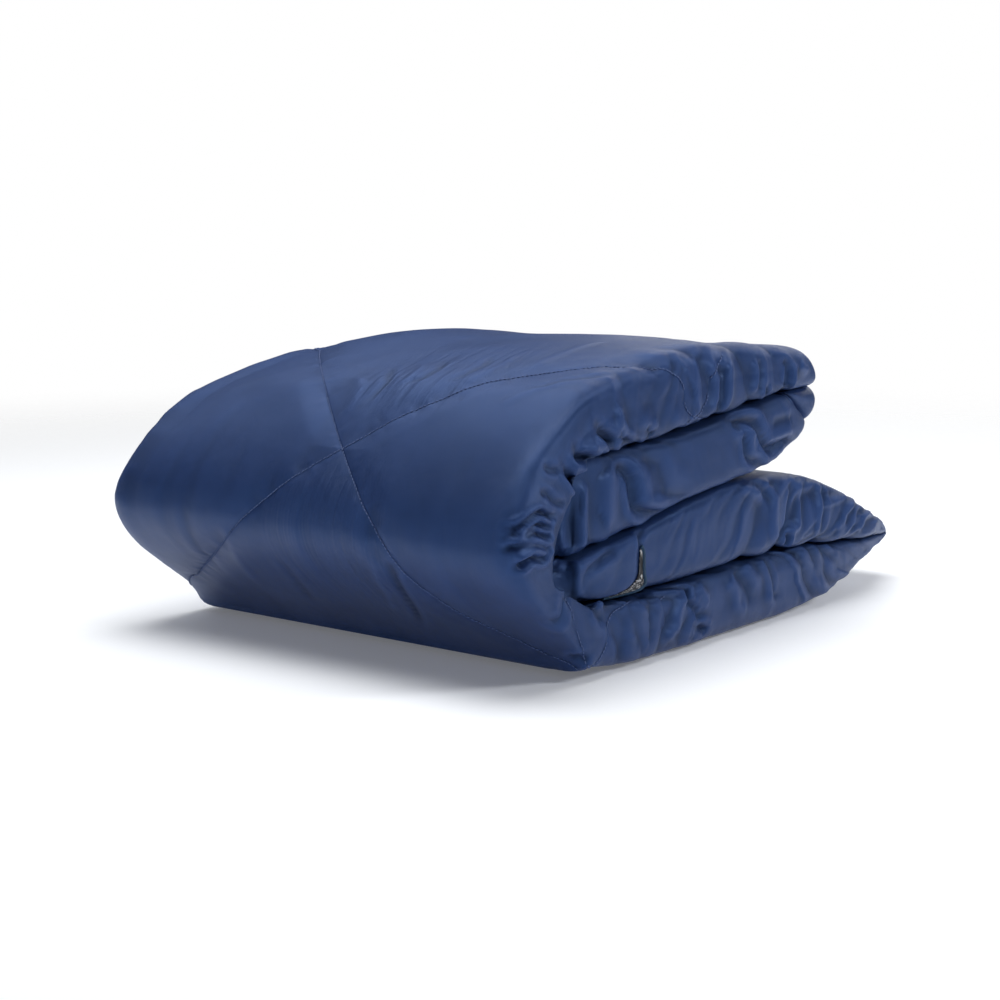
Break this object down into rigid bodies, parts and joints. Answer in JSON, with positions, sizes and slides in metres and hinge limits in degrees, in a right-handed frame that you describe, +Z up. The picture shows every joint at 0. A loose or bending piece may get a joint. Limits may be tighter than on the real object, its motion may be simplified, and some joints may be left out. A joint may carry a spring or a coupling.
{
  "type": "folded quilted blanket",
  "caption": "Navy satin quilted blanket, diamond stitched, folded in three and then in layers, with soft puffed folds and an oval badge on an inner edge.",
  "frame": {"origin": "centre of the bounding box on the base plane", "axes": "+Z up; the big front wrap faces -Y; the folded edges with the gathers face +X; the free ends lie towards +Y"},
  "size_m": [0.46, 0.6468, 0.2545],
  "materials": {
    "navy_satin": "satin weave, soft sheen",
    "badge_twill": "matt twill with an overlocked border"
  },
  "bodies": {
    "root": {"quilt": "navy_satin", "badge": "badge_twill"}
  },
  "joints": []
}
